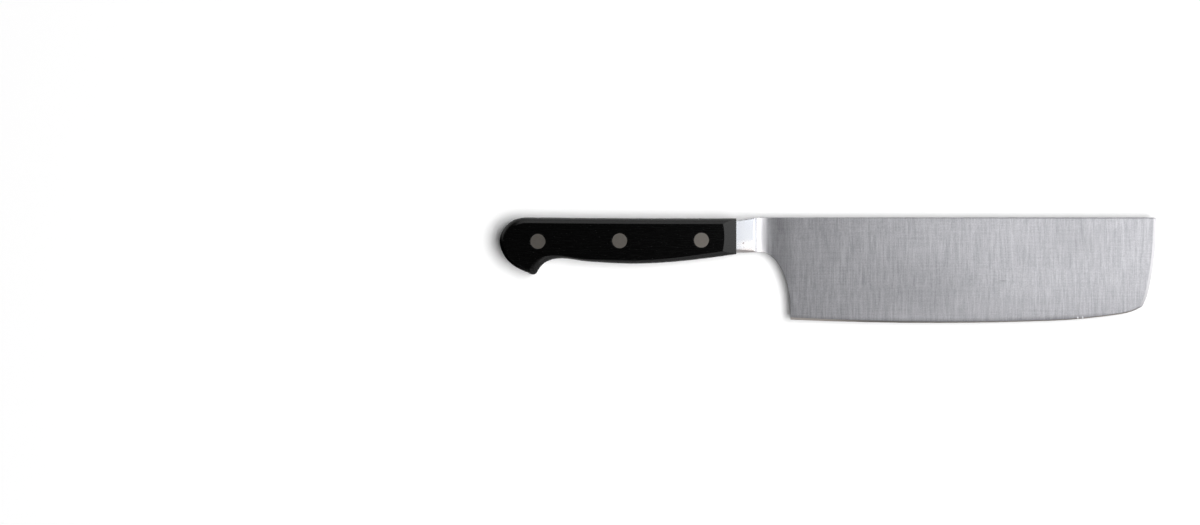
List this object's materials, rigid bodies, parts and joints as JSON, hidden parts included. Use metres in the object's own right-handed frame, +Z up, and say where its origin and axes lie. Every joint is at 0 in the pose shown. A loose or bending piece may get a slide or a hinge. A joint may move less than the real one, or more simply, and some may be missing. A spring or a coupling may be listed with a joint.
{
  "type": "nakiri knife",
  "caption": "Nakiri vegetable knife: tall straight blade with a forged bolster and full tang, and a hooked black handle of riveted scales.",
  "frame": {"origin": "middle of the knife's footprint as it lies on the flat side of its lower handle scale, at the height of that side", "axes": "+X along the blade towards the tip, +Y from the cutting edge towards the spine, +Z up through the thickness, out of the upper side"},
  "size_m": [0.2962, 0.0476, 0.017],
  "materials": {
    "forged_steel": "brushed",
    "handle_polymer": "satin",
    "rivet_metal": "satin"
  },
  "bodies": {
    "root": {"blade_and_tang": "forged_steel", "scale_upper": "handle_polymer", "scale_lower": "handle_polymer", "rivet_front_socket": "rivet_metal", "rivet_front_post": "rivet_metal", "rivet_middle_socket": "rivet_metal", "rivet_middle_post": "rivet_metal", "rivet_butt_socket": "rivet_metal", "rivet_butt_post": "rivet_metal"}
  },
  "joints": []
}
